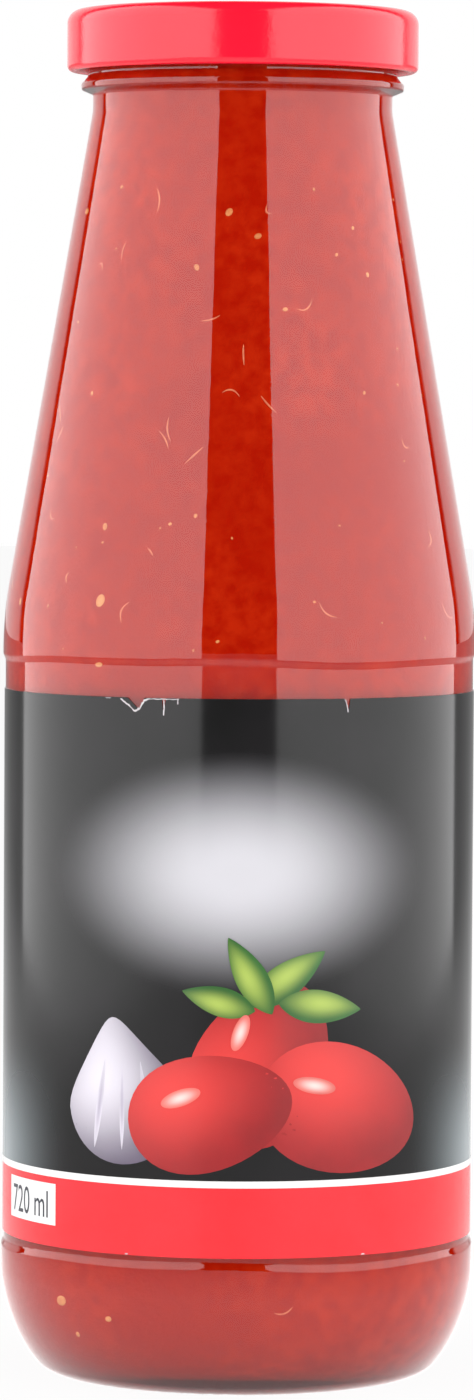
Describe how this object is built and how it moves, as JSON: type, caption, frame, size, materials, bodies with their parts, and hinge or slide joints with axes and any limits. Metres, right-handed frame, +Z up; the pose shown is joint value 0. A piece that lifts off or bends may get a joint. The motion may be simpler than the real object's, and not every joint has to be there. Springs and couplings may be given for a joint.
{
  "type": "passata bottle",
  "caption": "Slender clear glass bottle of tomato passata with a sloping cone, a red lug cap and a wrap-round paper label.",
  "frame": {"origin": "middle of the base, on the plane the bottle stands on", "axes": "+Z up the bottle's axis towards the cap, -Y out of the front of the label, +X to the right of someone facing it"},
  "size_m": [0.0772, 0.0772, 0.2221],
  "materials": {
    "glass": "clear flint glass, fire-polished",
    "passata": "wet tomato pulp behind glass",
    "lid": "glossy red enamel on tinplate",
    "label": "varnished printed paper"
  },
  "bodies": {
    "root": {"bottle": "glass", "passata": "passata", "lid": "lid", "label": "label"}
  },
  "joints": []
}
